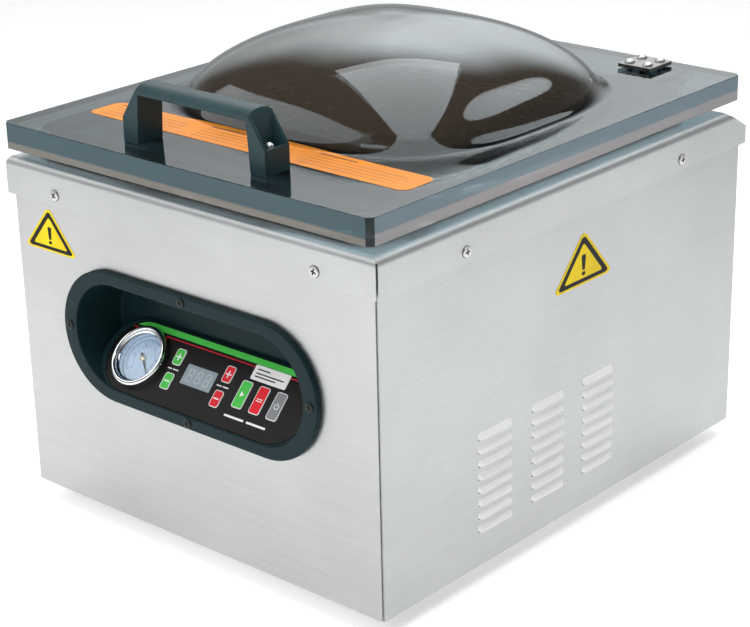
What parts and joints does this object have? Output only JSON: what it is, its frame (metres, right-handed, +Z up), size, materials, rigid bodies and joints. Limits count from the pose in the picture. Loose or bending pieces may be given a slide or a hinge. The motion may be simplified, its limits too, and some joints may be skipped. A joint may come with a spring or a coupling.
{
  "type": "vacuum sealer",
  "caption": "Table-top chamber vacuum sealer: sheet-steel cabinet, domed smoked lid on rear hinges, lifting seal bar, recessed control panel with keys and vacuum gauge.",
  "frame": {"origin": "under the middle of the overall box, at the level of the feet", "axes": "+X to the right of a person facing the control panel, +Y from the front to the rear, +Z up; the hinge axis runs along X at the rear"},
  "size_m": [0.3712, 0.4567, 0.3671],
  "materials": {
    "brushed_steel": "fine horizontal brushing, satin",
    "bright_steel": "bright rolled stainless steel",
    "chrome": "polished chrome plate",
    "smoked_acrylic": "polished smoked transparent acrylic",
    "clear_lens": "clear polished",
    "dark_teal_plastic": "fine matt texture",
    "black_plastic": "matt",
    "green_key": "satin overlay",
    "red_key": "satin overlay",
    "grey_key": "satin overlay",
    "display_grey": "semi-gloss window",
    "pale_blue_dial": "matt painted dial",
    "black_rubber": "matt rubber",
    "pale_silicone": "soft matt silicone",
    "white_polyethylene": "matt food-grade board",
    "grey_casting": "painted casting",
    "copper_winding": "varnished copper winding on a steel core",
    "circuit_board": "green solder resist"
  },
  "bodies": {
    "cabinet": {"base_plate": "brushed_steel", "front_panel": "brushed_steel", "rear_panel": "brushed_steel", "left_side_panel": "brushed_steel", "right_side_panel": "brushed_steel", "top_deck": "brushed_steel", "chamber_tub": "bright_steel", "filler_plate": "white_polyethylene", "foot_front_left": "black_rubber", "foot_front_right": "black_rubber", "foot_rear_left": "black_rubber", "foot_rear_right": "black_rubber", "control_bezel": "dark_teal_plastic", "control_panel": "black_plastic", "display_window": "display_grey", "gauge_case": "chrome", "gauge_dial": "pale_blue_dial", "gauge_lens": "clear_lens", "hinge_bracket_left": "brushed_steel", "hinge_bracket_right": "brushed_steel", "vacuum_pump": "grey_casting", "pump_motor": "grey_casting", "transformer": "copper_winding", "control_board": "circuit_board", "vent_valve": "bright_steel", "vacuum_hose": "black_rubber", "power_inlet": "black_plastic", "skirt_screw_front_1": "bright_steel", "skirt_screw_front_2": "bright_steel", "skirt_screw_rear_1": "bright_steel", "skirt_screw_rear_2": "bright_steel", "skirt_screw_left_side_1": "bright_steel", "skirt_screw_left_side_2": "bright_steel", "skirt_screw_right_side_1": "bright_steel", "skirt_screw_right_side_2": "bright_steel", "bezel_screw_top": "black_plastic", "bezel_screw_bottom": "black_plastic", "bezel_screw_left": "black_plastic", "bezel_screw_right": "black_plastic"},
    "lid_assembly": {"lid": "smoked_acrylic", "lid_gasket": "pale_silicone", "lid_handle": "dark_teal_plastic", "handle_bolt_left": "bright_steel", "handle_bolt_right": "bright_steel", "hinge_clamp_left": "bright_steel", "hinge_clamp_right": "bright_steel", "hinge_leaf_left": "brushed_steel", "hinge_leaf_right": "brushed_steel", "counter_bar": "pale_silicone"},
    "seal_bar_carrier": {"seal_bar": "bright_steel"},
    "needle": {"gauge_needle": "black_plastic"},
    "fan": {"cooling_fan": "black_plastic"},
    "key_vacuum_plus_cap": {"key_vacuum_plus": "green_key"},
    "key_vacuum_minus_cap": {"key_vacuum_minus": "green_key"},
    "key_seal_plus_cap": {"key_seal_plus": "red_key"},
    "key_seal_minus_cap": {"key_seal_minus": "red_key"},
    "key_start_cap": {"key_start": "green_key"},
    "key_seal_cap": {"key_seal": "red_key"},
    "key_power_cap": {"key_power": "grey_key"}
  },
  "joints": [
    {"name": "lid_hinge", "type": "hinge", "parent": "cabinet", "child": "lid_assembly", "pos_m": [0, 0.2232, 0.279], "axis": [-1, 0, 0], "range_deg": [0, 75]},
    {"name": "seal_bar_lift", "type": "slide", "parent": "cabinet", "child": "seal_bar_carrier", "axis": [0, 0, 1], "range_m": [0, 0.0055]},
    {"name": "gauge_needle_turn", "type": "hinge", "parent": "cabinet", "child": "needle", "pos_m": [-0.0674, -0.20588, 0.14115], "axis": [0, -0.7193, 0.6947], "range_deg": [0, 270], "stiffness_Nm_per_rad": 0.0004, "springref_deg": -17.19},
    {"name": "fan_spin", "type": "hinge", "parent": "cabinet", "child": "fan", "pos_m": [-0.09, 0.1242, 0.078], "axis": [0, 1, 0], "continuous": true},
    {"name": "key_vacuum_plus_press", "type": "slide", "parent": "cabinet", "child": "key_vacuum_plus_cap", "axis": [0, 0.7193, -0.6947], "range_m": [0, 0.0005], "stiffness_N_per_m": 600, "springref_m": -0.0008},
    {"name": "key_vacuum_minus_press", "type": "slide", "parent": "cabinet", "child": "key_vacuum_minus_cap", "axis": [0, 0.7193, -0.6947], "range_m": [0, 0.0005], "stiffness_N_per_m": 600, "springref_m": -0.0008},
    {"name": "key_seal_plus_press", "type": "slide", "parent": "cabinet", "child": "key_seal_plus_cap", "axis": [0, 0.7193, -0.6947], "range_m": [0, 0.0005], "stiffness_N_per_m": 600, "springref_m": -0.0008},
    {"name": "key_seal_minus_press", "type": "slide", "parent": "cabinet", "child": "key_seal_minus_cap", "axis": [0, 0.7193, -0.6947], "range_m": [0, 0.0005], "stiffness_N_per_m": 600, "springref_m": -0.0008},
    {"name": "key_start_press", "type": "slide", "parent": "cabinet", "child": "key_start_cap", "axis": [0, 0.7193, -0.6947], "range_m": [0, 0.0005], "stiffness_N_per_m": 600, "springref_m": -0.0008},
    {"name": "key_seal_press", "type": "slide", "parent": "cabinet", "child": "key_seal_cap", "axis": [0, 0.7193, -0.6947], "range_m": [0, 0.0005], "stiffness_N_per_m": 600, "springref_m": -0.0008},
    {"name": "key_power_press", "type": "slide", "parent": "cabinet", "child": "key_power_cap", "axis": [0, 0.7193, -0.6947], "range_m": [0, 0.0005], "stiffness_N_per_m": 600, "springref_m": -0.0008}
  ]
}
